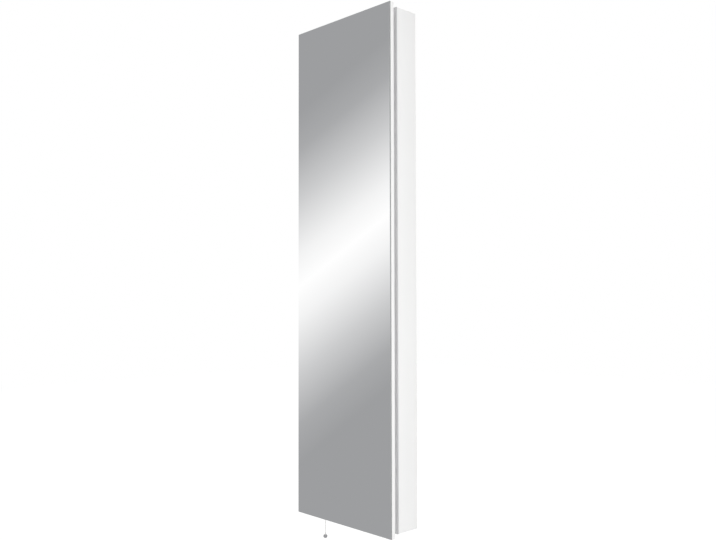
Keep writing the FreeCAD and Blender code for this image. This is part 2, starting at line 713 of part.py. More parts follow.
# ---- Door ------------------------------------------------------------------
def door_panel():
    half_width, half_height = DOOR_WIDTH / 2, DOOR_HEIGHT / 2
    panel = block(-half_width, half_width, mirror_back_y, door_back_y, -half_height, half_height)
    panel = panel.makeFillet(DOOR_EDGE_ROUND, panel.Edges)
    for seat, into in hinge_screw_places()[1]:
        panel = panel.cut(screw_hole(seat, into, HINGE_SCREW_LENGTH))
    return panel


def mirror_glass():
    """Sheet of glass glued on the board's front, over all of it."""
    half_width = DOOR_WIDTH / 2 - MIRROR_INSET
    half_height = DOOR_HEIGHT / 2 - MIRROR_INSET
    glass = block(-half_width, half_width, door_front_y, mirror_back_y, -half_height, half_height)
    front = [e for e in glass.Edges if near(e.CenterOfMass.y, door_front_y)]
    return glass.makeChamfer(MIRROR_ARRIS, front)


def hook(at, facing, stem, bend):
    """Bent-wire hook with a round base and a ball tip, pointing along facing and then up."""
    facing = V(0, facing, 0)
    start = at + facing * HOOK_BASE * 0.5
    corner = at + facing * (HOOK_BASE + stem + bend)
    tip = corner + V(0, 0, bend + HOOK_RISE)
    wire = tube([start, corner, tip], [bend], HOOK_WIRE_RADIUS)
    base = cylinder(HOOK_BASE_RADIUS, HOOK_BASE, at, facing)
    ball = Part.makeSphere(HOOK_TIP_RADIUS, tip)
    return base.fuse([wire, ball]).removeSplitter()


def storage_rail(half_width, y0, y1, z):
    bar = block(-half_width, half_width, y0, y1, z - RAIL_HEIGHT / 2, z + RAIL_HEIGHT / 2)
    return bar.makeFillet(RAIL_ROUND, edges_along(bar, V(0, 1, 0), lambda c: True))


def door_tray(bottom):
    """Open-topped tray on the back of the door."""
    y0 = door_lined_y
    half = door_lining_half_w - DOOR_TRAY_SIDE_GAP
    tray = block(-half, half, y0, y0 + DOOR_TRAY_DEPTH, bottom, bottom + DOOR_TRAY_HEIGHT)
    tray = tray.makeFillet(DOOR_TRAY_ROUND, edges_along(tray, V(0, 0, 1), lambda c: c.y > y0 + 1))
    wall = DOOR_TRAY_WALL
    hollow = block(
        -half + wall,
        half - wall,
        y0 + wall,
        y0 + DOOR_TRAY_DEPTH - wall,
        bottom + wall,
        bottom + DOOR_TRAY_HEIGHT + 1,
    )
    return tray.cut(hollow)


def make_door():
    keep("door_panel", door_panel())
    keep("mirror_glass", mirror_glass())
    half_width, half_height = door_lining_half_w, door_lining_half_h
    keep("door_lining", block(-half_width, half_width, door_back_y, door_lined_y, -half_height, half_height))
    rail_front = door_lined_y + RAIL_THICKNESS
    rail_half = door_lining_half_w - DOOR_RAIL_SIDE_GAP
    keep("door_hook_rail", storage_rail(rail_half, door_lined_y, rail_front, door_rail_z))
    hooks = [
        hook(V(x, rail_front, door_rail_z - HOOK_BELOW_MIDDLE), 1, DOOR_HOOK_STEM, DOOR_HOOK_BEND)
        for x in spread(DOOR_HOOKS, rail_half - DOOR_HOOK_FROM_RAIL_END)
    ]
    keep("door_hooks", *hooks)
    keep("door_trays", *[door_tray(level * door_lining_half_h) for level in DOOR_TRAY_LEVELS])
    x0, x1 = frame_mid_w - STRIKE_WIDTH / 2, frame_mid_w + STRIKE_WIDTH / 2
    rise = STRIKE_HEIGHT / 2
    y1 = door_back_y + STRIKE
    strikes = [block(x0, x1, door_back_y, y1, z - rise, z + rise) for z in (-catch_z, catch_z)]
    keep("strike_plates", *strikes)
    bumpers = []
    for side in (-1, 1):
        for z in (-bumper_z, bumper_z):
            at = V(side * frame_mid_w, door_back_y, z)
            dome = cylinder(BUMPER_RADIUS, BUMPER, at, V(0, 1, 0))
            top = [e for e in dome.Edges if near(e.CenterOfMass.y, door_back_y + BUMPER)]
            bumpers.append(dome.makeFillet(BUMPER * 0.8, top))
    keep("door_bumpers", *bumpers)


# ---- Storage in the carcass ------------------------------------------------
def trunking_space(clearance):
    """Space of the cable trunking in the rear right corner."""
    x1 = inner_w - FIT_CLEARANCE
    return block(
        x1 - TRUNKING_WIDTH - clearance,
        x1 + clearance,
        back_face_y - TRUNKING_DEPTH - clearance,
        back_face_y,
        trunking_bottom,
        trunking_top,
    )


def earring_bar(z, y, half):
    top = z + EARRING_BAR_HEIGHT / 2
    slot_bottom = top - EARRING_SLOT_HEIGHT
    bar = block(-half, half, y, y + EARRING_BAR, z - EARRING_BAR_HEIGHT / 2, top)
    for x in spread(EARRING_SLOTS, half - EARRING_SLOT_FROM_END):
        x0, x1 = x - EARRING_SLOT_WIDTH / 2, x + EARRING_SLOT_WIDTH / 2
        bar = bar.cut(block(x0, x1, y - 1, y + EARRING_BAR + 1, slot_bottom, top + 1))
        bar = bar.cut(cylinder(EARRING_SLOT_WIDTH, EARRING_BAR + 2, V(x, y - 1, slot_bottom), V(0, 1, 0)))
    return bar


def make_earring_rack():
    y = lining_y - EARRING_STAND_OFF
    half = lining_half_w - EARRING_UPRIGHT_SIDE_GAP - EARRING_UPRIGHT
    keep("earring_bars", *[earring_bar(z, y, half) for z in earring_levels])
    uprights = []
    low, high = earring_levels[-1] - EARRING_BAR_HEIGHT, earring_levels[0] + EARRING_BAR_HEIGHT
    front_y = y - EARRING_UPRIGHT_FRONT
    for side in (-1, 1):
        x0, x1 = sorted((side * half, side * (half + EARRING_UPRIGHT)))
        upright = block(x0, x1, front_y, lining_y, low, high)
        front = edges_along(upright, V(1, 0, 0), lambda c: near(c.y, front_y))
        uprights.append(upright.makeFillet(EARRING_UPRIGHT_ROUND, front))
    keep("earring_uprights", *uprights)


def make_ring_tray():
    half = lining_half_w - RING_TRAY_SIDE_GAP
    roll_y = lining_y - RING_TRAY_BASE - RING_ROLL_GAP - RING_ROLL_RADIUS
    front = roll_y - RING_ROLL_RADIUS - RING_TRAY_FRONT
    tray = block(-half, half, front, lining_y, ring_tray_bottom, ring_tray_top)
    tray = tray.makeFillet(RAIL_ROUND, edges_along(tray, V(0, 1, 0), lambda c: True))
    hollow = block(
        -half + RING_TRAY_WALL,
        half - RING_TRAY_WALL,
        front - 1,
        lining_y - RING_TRAY_BASE,
        ring_tray_bottom + RING_TRAY_WALL,
        ring_tray_top - RING_TRAY_WALL,
    )
    keep("ring_tray", tray.cut(hollow))
    rolls = []
    length = 2 * (half - RING_TRAY_WALL - RING_ROLL_GAP)
    first = ring_tray_top - RING_TRAY_WALL - RING_ROLL_GAP - RING_ROLL_RADIUS
    for i in range(RING_ROLLS):
        start = V(-length / 2, roll_y, first - i * ring_roll_pitch)
        roll = cylinder(RING_ROLL_RADIUS, length, start, V(1, 0, 0))
        ends = [e for e in roll.Edges if near(abs(e.CenterOfMass.x), length / 2)]
        rolls.append(roll.makeFillet(RING_ROLL_RADIUS * 0.3, ends))
    keep("ring_cushion", *rolls)


def make_watch_bar():
    y = lining_y - WATCH_BAR_STAND_OFF
    z = ring_tray_top + WATCH_BAR_ABOVE_TRAY
    half = lining_half_w - WATCH_BAR_SIDE_GAP
    keep("watch_bar", cylinder(WATCH_BAR_RADIUS, 2 * half, V(-half, y, z), V(1, 0, 0)))
    brackets = []
    for side in (-1, 1):
        x0, x1 = sorted((side * half, side * (half + WATCH_BRACKET)))
        ear = cylinder(WATCH_BAR_RADIUS + WATCH_BRACKET_MARGIN, WATCH_BRACKET, V(x0, y, z), V(1, 0, 0))
        arm = block(x0, x1, y, lining_y, z - WATCH_BAR_RADIUS, z + WATCH_BAR_RADIUS)
        brackets.append(ear.fuse(arm).removeSplitter())
    keep("watch_bar_brackets", *brackets)


def make_shelves():
    for name, top in shelf_tops.items():
        reach = inner_w - FIT_CLEARANCE
        shelf = block(-reach, reach, shelf_front_y, lining_y - FIT_CLEARANCE, top - SHELF, top)
        front = edges_along(shelf, V(1, 0, 0), lambda c: near(c.y, shelf_front_y))
        shelf = shelf.makeFillet(SHELF_ROUND, front).cut(trunking_space(FIT_CLEARANCE))
        keep("shelf_" + name, shelf)
    keep(
        "shelf_pins",
        *[
            cylinder(SHELF_PIN_RADIUS, SHELF_PIN_LENGTH, place, V(-1 if place.x > 0 else 1, 0, 0))
            for place in shelf_pin_places()
        ],
    )
    reach = inner_w + SHELF_RAIL_IN_SIDE
    keep(
        "shelf_rails",
        *[
            cylinder(SHELF_RAIL_RADIUS, 2 * reach, V(-reach, shelf_rail_y, top + SHELF_RAIL_RISE), V(1, 0, 0))
            for top in shelf_tops.values()
        ],
    )


def make_storage():
    low = cover_top + FIT_CLEARANCE
    keep("back_lining", block(-lining_half_w, lining_half_w, lining_y, back_face_y, low, lining_top))
    front = lining_y - RAIL_THICKNESS
    rail_half = lining_half_w - NECKLACE_RAIL_SIDE_GAP
    keep("necklace_rail", storage_rail(rail_half, front, lining_y, necklace_rail_z))
    hooks = [
        hook(V(x, front, necklace_rail_z - HOOK_BELOW_MIDDLE), -1, HOOK_STEM, HOOK_BEND)
        for x in spread(NECKLACE_HOOKS, rail_half - HOOK_FROM_RAIL_END)
    ]
    keep("necklace_hooks", *hooks)
    make_watch_bar()
    make_ring_tray()
    make_earring_rack()
    make_shelves()


# ---- Service space ---------------------------------------------------------
def make_service_cover():
    """Folded sheet: a false floor, a front apron and two screw ears against the sides."""
    reach = inner_w - FIT_CLEARANCE
    sheet = COVER_SHEET
    low = -inner_h + FIT_CLEARANCE
    back = back_face_y - FIT_CLEARANCE
    floor = block(-reach, reach, shelf_front_y, back, cover_top - sheet, cover_top)
    apron = block(-reach, reach, shelf_front_y, shelf_front_y + sheet, low, cover_top)
    cover = floor.fuse(apron)
    fold = edges_along(cover, V(1, 0, 0), lambda c: near(c.y, shelf_front_y) and near(c.z, cover_top))
    cover = cover.makeFillet(COVER_ROUND, fold)
    y0 = rim_y + COVER_EAR_FROM_RIM
    y1 = y0 + COVER_EAR_WIDTH
    for side in (-1, 1):
        x0, x1 = sorted((side * reach, side * (reach - sheet)))
        cover = cover.fuse(block(x0, x1, y0, y1, cover_top - COVER_EAR_HEIGHT, cover_top - sheet / 2))
    for seat, into in cover_screw_places():
        cover = cover.cut(screw_hole(seat - into, into, sheet + 2))
    keep("service_cover", cover.cut(trunking_space(FIT_CLEARANCE)).removeSplitter())


def switch_box(inset, z0, z1):
    half = SWITCH_WIDTH / 2 - inset
    return block(cord_x - half, cord_x + half, cord_y - half, cord_y + half, z0, z1)


def make_switch():
    """Pull switch on the bottom panel: housing, lid, slider, spring and the bush for the cord."""
    floor_z = -inner_h
    lid_z = floor_z + SWITCH_HEIGHT - SWITCH_LID
    up = V(0, 0, 1)
    housing = switch_box(0, floor_z, lid_z).cut(switch_box(SWITCH_WALL, floor_z + SWITCH_WALL, lid_z + 1))
    hole = cylinder(HOUSING_HOLE_RADIUS, SWITCH_WALL + 2, V(cord_x, cord_y, floor_z - 1), up)
    keep("switch_housing", housing.cut(hole))
    lid_top = lid_z + SWITCH_LID
    lid = switch_box(0, lid_z, lid_top)
    rim = [e for e in lid.Edges if near(e.CenterOfMass.z, lid_top)]
    keep("switch_lid", lid.makeFillet(SLIDER_ROUND, rim))
    slider_top = lid_z - SLIDER_TOP_GAP
    slider_bottom = slider_top - SLIDER_HEIGHT
    slider = switch_box((SWITCH_WIDTH - SLIDER_SIZE) / 2, slider_bottom, slider_top)
    keep("pull_slider", slider.makeFillet(SLIDER_ROUND, edges_along(slider, up, lambda c: True)))
    make_spring(floor_z + SWITCH_WALL, slider_bottom)
    bush_low = -half_h - BUSH_FLANGE
    sleeve = cylinder(BUSH_SLEEVE_RADIUS, PANEL, V(cord_x, cord_y, -half_h), up)
    flange = cylinder(BUSH_FLANGE_RADIUS, BUSH_FLANGE, V(cord_x, cord_y, bush_low), up)
    rim = [e for e in flange.Edges if near(e.CenterOfMass.z, bush_low)]
    bush = flange.makeFillet(BUSH_ROUND, rim).fuse(sleeve)
    bush = bush.cut(cylinder(BUSH_BORE_RADIUS, PANEL * 2, V(cord_x, cord_y, bush_low - 1), up))
    keep("cord_bush", bush.removeSplitter())
    make_cord(slider_bottom, bush_low)


def make_spring(low, high):
    """Compression spring round the cord, made of arcs that each follow an eighth of a turn."""
    start_z = low + SPRING_WIRE + SPRING_END_GAP
    height = high - SPRING_WIRE - SPRING_END_GAP - start_z
    step = math.pi / 4
    count = int(SPRING_TURNS * 2 * math.pi / step)
    out = SPRING_RADIUS / math.cos(step / 2)
    corners = [
        V(cord_x + out * math.cos(i * step), cord_y + out * math.sin(i * step), start_z + (i - 0.5) * height / count)
        for i in range(count + 2)
    ]
    reach = (corners[1] - corners[0]).Length / 2
    sides = (corners[0] - corners[1]).normalize(), (corners[2] - corners[1]).normalize()
    bend = reach * math.tan(math.acos(sides[0].dot(sides[1])) / 2)
    ends = (corners[0] + corners[1]) / 2, (corners[-2] + corners[-1]) / 2
    keep("return_spring", tube([ends[0], *corners[1:-1], ends[1]], [bend] * count, SPRING_WIRE))


def make_cord(slider_bottom, bush_low):
    """Cord inside the cabinet, its free stretch below the bush, and the knob on its end."""
    up = V(0, 0, 1)
    inner_run = slider_bottom - bush_low
    keep("cord_inner_run", cylinder(CORD_RADIUS, inner_run, V(cord_x, cord_y, bush_low), up))
    knob_top = V(cord_x, cord_y, bush_low - CORD_FREE_LENGTH)
    keep("pull_cord", cylinder(CORD_RADIUS, CORD_FREE_LENGTH, knob_top, up))
    collar = Part.makeCone(CORD_RADIUS + KNOB_COLLAR_EDGE, KNOB_COLLAR_RADIUS, KNOB_COLLAR, knob_top, -up)
    neck = math.sqrt(KNOB_RADIUS**2 - KNOB_COLLAR_RADIUS**2)
    ball = Part.makeSphere(KNOB_RADIUS, knob_top - up * (KNOB_COLLAR + neck))
    keep("pull_knob", collar.fuse(ball).removeSplitter())


def make_driver_and_terminals():
    y0 = service_back_y
    top = -inner_h + DRIVER_HEIGHT
    body = block(driver_left, driver_right, driver_front_y, y0, -inner_h, top)
    keep("driver_box", body.makeFillet(DRIVER_ROUND, [e for e in body.Edges if near(e.CenterOfMass.z, top)]))
    top = -inner_h + TERMINALS_HEIGHT
    terminals = block(TERMINALS_LEFT, terminals_right, y0 - TERMINALS_DEPTH, y0, -inner_h, top)
    middle_x = (TERMINALS_LEFT + terminals_right) / 2
    way = TERMINALS_LENGTH / TERMINAL_WAYS
    for x in spread(TERMINAL_WAYS, way * (TERMINAL_WAYS - 1) / 2):
        for y in spread(2, TERMINALS_DEPTH / 4):
            place = V(middle_x + x, y0 - TERMINALS_DEPTH / 2 + y, top)
            terminals = terminals.cut(cylinder(TERMINAL_HOLE_RADIUS, TERMINAL_HOLE_DEPTH, place, V(0, 0, -1)))
    keep("terminal_block", terminals)


def make_leads():
    """Leads from the switch and the driver to the terminals, and up the trunking to the lamp."""
    low = -inner_h + LEAD_HEIGHT
    y = service_back_y - TERMINALS_DEPTH / 2
    switch_right = cord_x + SWITCH_WIDTH / 2
    bend_x = (switch_right + TERMINALS_LEFT) / 2
    switch_lead = tube(
        [
            V(switch_right, cord_y, low),
            V(bend_x - LEAD_BEND, cord_y, low),
            V(bend_x + LEAD_BEND, y, low),
            V(TERMINALS_LEFT, y, low),
        ],
        [LEAD_BEND, LEAD_BEND],
        LEAD_RADIUS,
    )
    start = V(terminals_right, y, low)
    driver_lead = cylinder(LEAD_RADIUS, driver_left - terminals_right, start, V(1, 0, 0))
    keep("switch_leads", switch_lead, driver_lead)
    x = inner_w - FIT_CLEARANCE - TRUNKING_WIDTH / 2
    wall_y = back_face_y - TRUNKING_DEPTH / 2
    driver_y = (service_back_y + driver_front_y) / 2
    lead_z = inner_h - LAMP_HEIGHT / 2
    points = [
        V(driver_right, driver_y, low),
        V(x, driver_y, low),
        V(x, wall_y, low),
        V(x, wall_y, lead_z),
        V(x, lamp_y, lead_z),
        V(lamp_half + LAMP_CAP, lamp_y, lead_z),
    ]
    keep("lamp_lead", tube(points, [LEAD_BEND] * 4, LEAD_RADIUS))


def make_trunking():
    x1 = inner_w - FIT_CLEARANCE - TRUNKING_WALL
    hollow = block(
        x1 - TRUNKING_WIDTH + 2 * TRUNKING_WALL,
        x1,
        back_face_y - TRUNKING_DEPTH + TRUNKING_WALL,
        back_face_y - TRUNKING_WALL,
        trunking_bottom - 1,
        trunking_top + 1,
    )
    keep("cable_trunking", trunking_space(0.0).cut(hollow))


# ---- Lamp ------------------------------------------------------------------
def make_lamp():
    """Strip lamp under the top rail's flange."""
    y0, y1 = lamp_y - LAMP_WIDTH / 2, lamp_y + LAMP_WIDTH / 2
    top = inner_h - FLANGE - HOLE_CLEARANCE
    low = top - LAMP_HEIGHT
    half = lamp_half
    hollow = block(-half - 1, half + 1, y0 + LAMP_WALL, y1 - LAMP_WALL, low - 1, top - LAMP_WALL)
    keep("lamp_housing", block(-half, half, y0, y1, low, top).cut(hollow))
    keep("lamp_board", lamp_board(half, top - LAMP_WALL))
    keep("lamp_diffuser", lamp_diffuser(half, y0 + LAMP_WALL, y1 - LAMP_WALL, low))
    caps = []
    for side in (-1, 1):
        x0, x1 = sorted((side * half, side * (half + LAMP_CAP)))
        cap = block(x0, x1, y0, y1, low - DIFFUSER_DROP, top)
        caps.append(cap.makeFillet(LAMP_CAP_ROUND, edges_along(cap, V(1, 0, 0), lambda c: c.z < low)))
    keep("lamp_end_caps", *caps)


def lamp_board(half, top):
    reach = half - LED_BOARD_END_GAP
    face = top - LED_BOARD
    board = block(-reach, reach, lamp_y - LED_BOARD_WIDTH / 2, lamp_y + LED_BOARD_WIDTH / 2, face, top)
    y0, y1 = lamp_y - LED_CHIP_WIDTH / 2, lamp_y + LED_CHIP_WIDTH / 2
    for x in spread(LED_CHIPS, half - LED_CHIP_FROM_END):
        x0, x1 = x - LED_CHIP_LENGTH / 2, x + LED_CHIP_LENGTH / 2
        board = board.fuse(block(x0, x1, y0, y1, face - LED_CHIP_HEIGHT, face))
    return board


def lamp_diffuser(half, y0, y1, low):
    """Frosted strip that bows below the housing's open side."""
    z0 = low + DIFFUSER_LIP
    rise = V(0, 0, DIFFUSER)
    front_low = V(-half, y0 + DIFFUSER_CLEARANCE, z0)
    back_low = V(-half, y1 - DIFFUSER_CLEARANCE, z0)
    front_high, back_high = front_low + rise, back_low + rise
    edges = [
        Part.LineSegment(front_high, front_low),
        Part.Arc(front_low, V(-half, lamp_y, low - DIFFUSER_DROP), back_low),
        Part.LineSegment(back_low, back_high),
        Part.LineSegment(back_high, front_high),
    ]
    return Part.Face(Part.Wire([edge.toShape() for edge in edges])).extrude(V(2 * half, 0, 0))


def main():
    make_carcass()
    make_wall_fixing()
    make_front_frame()
    make_rim_trims()
    make_hinges()
    make_door()
    make_storage()
    make_service_cover()
    make_switch()
    make_driver_and_terminals()
    make_leads()
    make_trunking()
    make_lamp()
    os.makedirs("parts", exist_ok=True)
    for name, shape in NODES.items():
        if not shape.isValid():
            print("not valid:", name)
        shape.exportStep(os.path.join("parts", name + ".step"))
    print(len(NODES), "nodes")


main()
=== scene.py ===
import json
import math

import bpy
from mathutils import Matrix, Vector

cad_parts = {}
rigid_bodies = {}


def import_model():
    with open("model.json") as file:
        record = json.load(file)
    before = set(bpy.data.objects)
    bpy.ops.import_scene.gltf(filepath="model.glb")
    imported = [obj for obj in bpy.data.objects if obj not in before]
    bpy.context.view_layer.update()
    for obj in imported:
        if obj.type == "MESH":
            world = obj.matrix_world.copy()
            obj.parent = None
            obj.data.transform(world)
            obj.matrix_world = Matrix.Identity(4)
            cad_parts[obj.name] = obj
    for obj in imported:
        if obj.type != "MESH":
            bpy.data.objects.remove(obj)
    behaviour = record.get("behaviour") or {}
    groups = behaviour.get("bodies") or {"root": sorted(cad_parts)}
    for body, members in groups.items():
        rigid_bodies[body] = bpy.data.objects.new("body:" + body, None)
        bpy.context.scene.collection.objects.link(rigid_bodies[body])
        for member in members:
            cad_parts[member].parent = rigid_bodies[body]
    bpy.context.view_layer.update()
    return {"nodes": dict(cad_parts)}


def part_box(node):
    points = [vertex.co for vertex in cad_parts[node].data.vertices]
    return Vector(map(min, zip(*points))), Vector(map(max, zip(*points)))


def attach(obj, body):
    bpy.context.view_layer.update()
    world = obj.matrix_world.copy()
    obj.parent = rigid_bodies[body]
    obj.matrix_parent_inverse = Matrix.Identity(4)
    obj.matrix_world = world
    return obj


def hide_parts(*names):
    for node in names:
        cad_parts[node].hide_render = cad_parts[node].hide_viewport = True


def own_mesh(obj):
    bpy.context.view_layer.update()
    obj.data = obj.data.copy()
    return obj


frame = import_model()


# ---- The view ---------------------------------------------------------------
# The camera stands to the right of the cabinet, just under its middle, two metres away,
# and looks slightly up, so the upright edges draw together a little towards the top.
photo_width = 716
focal_pixels = 807.6
sensor_width = 36.0
camera_place = (1.4197, -1.3735, -0.0618)
turn, look_up, roll = (math.radians(angle) for angle in (46.76, 1.805, -0.107))

bpy.ops.object.select_all(action="DESELECT")
bpy.ops.object.camera_add()
camera = bpy.context.object
camera.matrix_world = (
    Matrix.Translation(camera_place)
    @ Matrix.Rotation(turn, 4, "Z")
    @ Matrix.Rotation(math.pi / 2 + look_up, 4, "X")
    @ Matrix.Rotation(roll, 4, "Z")
)
camera.data.sensor_width = sensor_width
camera.data.lens = focal_pixels / photo_width * sensor_width
bpy.context.scene.camera = camera
bpy.context.scene.view_settings.view_transform = "Standard"


# ---- The studio -------------------------------------------------------------
# A white room with a pale paper floor. What mirror and metal reflect is a grey studio wall
# with one broad band of light across it, which runs down from left to right. The wall's
# darker greys are a little cooler than the band.
ambient = 0.68
band_normal = (-0.3914, 0.4952, 0.7756)
band_levels = (
    (0.0, 1.0),
    (0.03, 0.9),
    (0.0835, 0.605),
    (0.13, 0.4),
    (0.165, 0.342),
    (0.3, 0.342),
    (0.7, 0.62),
)
red_power = 1.012
blue_power = 0.975
silver_shine = 0.945
floor_level = -1.0
floor_size = 14
paper_colour = (0.94, 0.94, 0.94, 1)
paper_glow = 1.25
glow_share = 0.6


def reckon(tree, operation, *values):
    """A Math node on numbers or on the outputs of other nodes."""
    node = tree.nodes.new("ShaderNodeMath")
    node.operation = operation
    for socket, value in zip(node.inputs, values):
        if isinstance(value, (int, float)):
            socket.default_value = value
        else:
            tree.links.new(value, socket)
    return node.outputs[0]


def blended(tree, share, first, second):
    """Mixes two shaders, from the first at no share to the second at a full one."""
    node = tree.nodes.new("ShaderNodeMixShader")
    for socket, value in zip(node.inputs, (share, first, second)):
        tree.links.new(value, socket)
    return node.outputs[0]


def backdrop(tree, level):
    """A plain white surround, where a level of 1 is white."""
    node = tree.nodes.new("ShaderNodeBackground")
    node.inputs["Color"].default_value = (1, 1, 1, 1)
    node.inputs["Strength"].default_value = level
    return node


studio = bpy.data.worlds.new("studio")
bpy.context.scene.world = studio
studio.use_nodes = True
tree = studio.node_tree
tree.nodes.clear()
rays = tree.nodes.new("ShaderNodeLightPath").outputs
seen = reckon(tree, "MAXIMUM", rays["Is Camera Ray"], rays["Is Transmission Ray"])
direction = tree.nodes.new("ShaderNodeTexCoord").outputs["Generated"]
across = tree.nodes.new("ShaderNodeVectorMath")
across.operation = "DOT_PRODUCT"
across.inputs[1].default_value = band_normal
tree.links.new(direction, across.inputs[0])
band = tree.nodes.new("ShaderNodeValToRGB")
steps = band.color_ramp.elements
steps.remove(steps[1])
for position, level in band_levels:
    step = steps[0] if position == 0 else steps.new(position)
    step.position = position
    step.color = (level**red_power, level, level**blue_power, 1)
tree.links.new(reckon(tree, "ABSOLUTE", across.outputs["Value"]), band.inputs[0])
reflected = backdrop(tree, 1 / silver_shine)
tree.links.new(band.outputs[0], reflected.inputs["Color"])
white = backdrop(tree, 1.0)
around = backdrop(tree, ambient)
room = blended(tree, seen, around.outputs[0], white.outputs[0])
room = blended(tree, rays["Is Glossy Ray"], room, reflected.outputs[0])
tree.links.new(room, tree.nodes.new("ShaderNodeOutputWorld").inputs["Surface"])

bpy.ops.object.select_all(action="DESELECT")
bpy.ops.mesh.primitive_plane_add(size=floor_size, location=(0, 0, floor_level))
floor = bpy.context.object
floor.name = "studio_floor"
paper = bpy.data.materials.new("paper_floor")
floor.data.materials.append(paper)
paper.use_nodes = True
tree = paper.node_tree
tree.nodes.clear()
rays = tree.nodes.new("ShaderNodeLightPath").outputs
seen = reckon(tree, "MAXIMUM", rays["Is Camera Ray"], rays["Is Transmission Ray"])
matt = tree.nodes.new("ShaderNodeBsdfDiffuse")
matt.inputs["Color"].default_value = paper_colour
glow = tree.nodes.new("ShaderNodeEmission")
glow.inputs["Strength"].default_value = paper_glow
clear = tree.nodes.new("ShaderNodeBsdfTransparent")
face = blended(tree, reckon(tree, "MULTIPLY", seen, glow_share), matt.outputs[0], glow.outputs[0])
face = blended(tree, rays["Is Glossy Ray"], face, clear.outputs[0])
tree.links.new(face, tree.nodes.new("ShaderNodeOutputMaterial").inputs["Surface"])

lamps = (
    ("right_softbox", (0.50, -0.45, 0.02), (0.156, -0.03, 0.02), (0.2, 1.7), 3.1),
    ("left_softbox", (-1.3, -1.5, 0.5), (0, -0.05, 0), (0.9, 1.4), 6.0),
    ("top_softbox", (0.1, -0.9, 1.7), (0, -0.05, 0), (1.2, 0.8), 5.0),
    ("rear_softbox", (-0.4, 1.9, 0.6), (0, 0, 0), (1.2, 1.4), 8.0),
)
for name, place, aim, size, watts in lamps:
    bpy.ops.object.light_add(type="AREA", location=place)
    lamp = bpy.context.object
    lamp.name = name
    lamp.rotation_euler = (Vector(aim) - Vector(place)).to_track_quat("-Z", "Y").to_euler()
    lamp.data.shape = "RECTANGLE"
    lamp.data.size, lamp.data.size_y = size
    lamp.data.energy = watts
    lamp.visible_camera = False
    lamp.visible_transmission = False
    lamp.visible_glossy = False


# ---- The pull cord ----------------------------------------------------------
# Thin braided white nylon. It leaves its bush under the bottom panel, and the knob's
# weight keeps its 60 mm straight. Above the bush it runs on, up to the switch's slider.
cord_exit = (-0.127, -0.033, -0.596)
cord_diameter = 0.0018
cord_points = (
    (-0.127, -0.033, -0.596),
    (-0.1268, -0.0331, -0.616),
    (-0.1271, -0.0329, -0.638),
    (-0.127, -0.033, -0.656),
)
cord_end_rim = 0.0002
braid_strands = 8
braid_turns_per_metre = 260


def new_finish(name, colour, roughness, even=()):
    """A finish whose even numbers are set on the shader's own sockets."""
    finish = bpy.data.materials.new(name)
    finish.use_nodes = True
    shader = finish.node_tree.nodes["Principled BSDF"]
    shader.inputs["Base Color"].default_value = (*colour, 1)
    shader.inputs["Roughness"].default_value = roughness
    for socket, value in dict(even).items():
        shader.inputs[socket].default_value = value
    finish.diffuse_color = (*colour, 1)
    return finish


def spot_on(tree):
    """The X, Y and Z of each point of a piece, in metres."""
    split = tree.nodes.new("ShaderNodeSeparateXYZ")
    tree.links.new(tree.nodes.new("ShaderNodeTexCoord").outputs["Object"], split.inputs[0])
    return split.outputs


def feed(finish, output, socket):
    """Lets a node's output drive one of the shader's sockets."""
    shader = finish.node_tree.nodes["Principled BSDF"]
    finish.node_tree.links.new(output, shader.inputs[socket])


def tint(finish, amount, dark, pale, low=0.3, high=0.7):
    """Varies the colour from dark to pale as a pattern goes from low to high."""
    ramp = finish.node_tree.nodes.new("ShaderNodeValToRGB")
    ends = ramp.color_ramp.elements
    ends[0].position, ends[1].position = low, high
    ends[0].color, ends[1].color = (*dark, 1), (*pale, 1)
    finish.node_tree.links.new(amount, ramp.inputs[0])
    feed(finish, ramp.outputs[0], "Base Color")


def relief(finish, amount, height, strength=1.0):
    """Raises the surface by height, in metres, on top of any relief it has."""
    tree = finish.node_tree
    under = tree.nodes["Principled BSDF"].inputs["Normal"]
    bump = tree.nodes.new("ShaderNodeBump")
    bump.inputs["Distance"].default_value = height
    bump.inputs["Strength"].default_value = strength
    if under.is_linked:
        tree.links.new(under.links[0].from_socket, bump.inputs["Normal"])
    tree.links.new(amount, bump.inputs["Height"])
    feed(finish, bump.outputs[0], "Normal")


braid = new_finish(
    "braided_nylon", (0.88, 0.88, 0.87), 0.6, {"Sheen Weight": 0.3, "Sheen Roughness": 0.4}
)
tree = braid.node_tree
spot = spot_on(tree)
east = reckon(tree, "SUBTRACT", spot["X"], cord_exit[0])
north = reckon(tree, "SUBTRACT", spot["Y"], cord_exit[1])
round_cord = reckon(tree, "MULTIPLY", reckon(tree, "ARCTAN2", north, east), braid_strands / 2)
along_cord = reckon(tree, "MULTIPLY", spot["Z"], 2 * math.pi * braid_turns_per_metre)
left_lay = reckon(tree, "SINE", reckon(tree, "ADD", round_cord, along_cord))
right_lay = reckon(tree, "SINE", reckon(tree, "SUBTRACT", round_cord, along_cord))
strands_and_groove_shade = reckon(tree, "MAXIMUM", left_lay, right_lay)
# Painted shade: the grooves between the strands are coloured darker than their crests.
tint(braid, strands_and_groove_shade, (0.72, 0.72, 0.70), (0.92, 0.92, 0.91), low=-0.2, high=0.8)
relief(braid, strands_and_groove_shade, height=0.0001)

bpy.ops.object.select_all(action="DESELECT")
line = bpy.data.curves.new("hanging_cord", "CURVE")
line.dimensions = "3D"
run = line.splines.new("NURBS")
run.points.add(len(cord_points) - 1)
for point, place in zip(run.points, cord_points):
    point.co = (*place, 1)
run.order_u = 3
run.use_endpoint_u = True
line.resolution_u = 12
line.bevel_depth = cord_diameter / 2
line.bevel_resolution = 5
line.use_fill_caps = True
hanging_cord = bpy.data.objects.new("hanging_cord", line)
bpy.context.collection.objects.link(hanging_cord)
line.materials.append(braid)
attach(hanging_cord, "pull")
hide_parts("pull_cord")


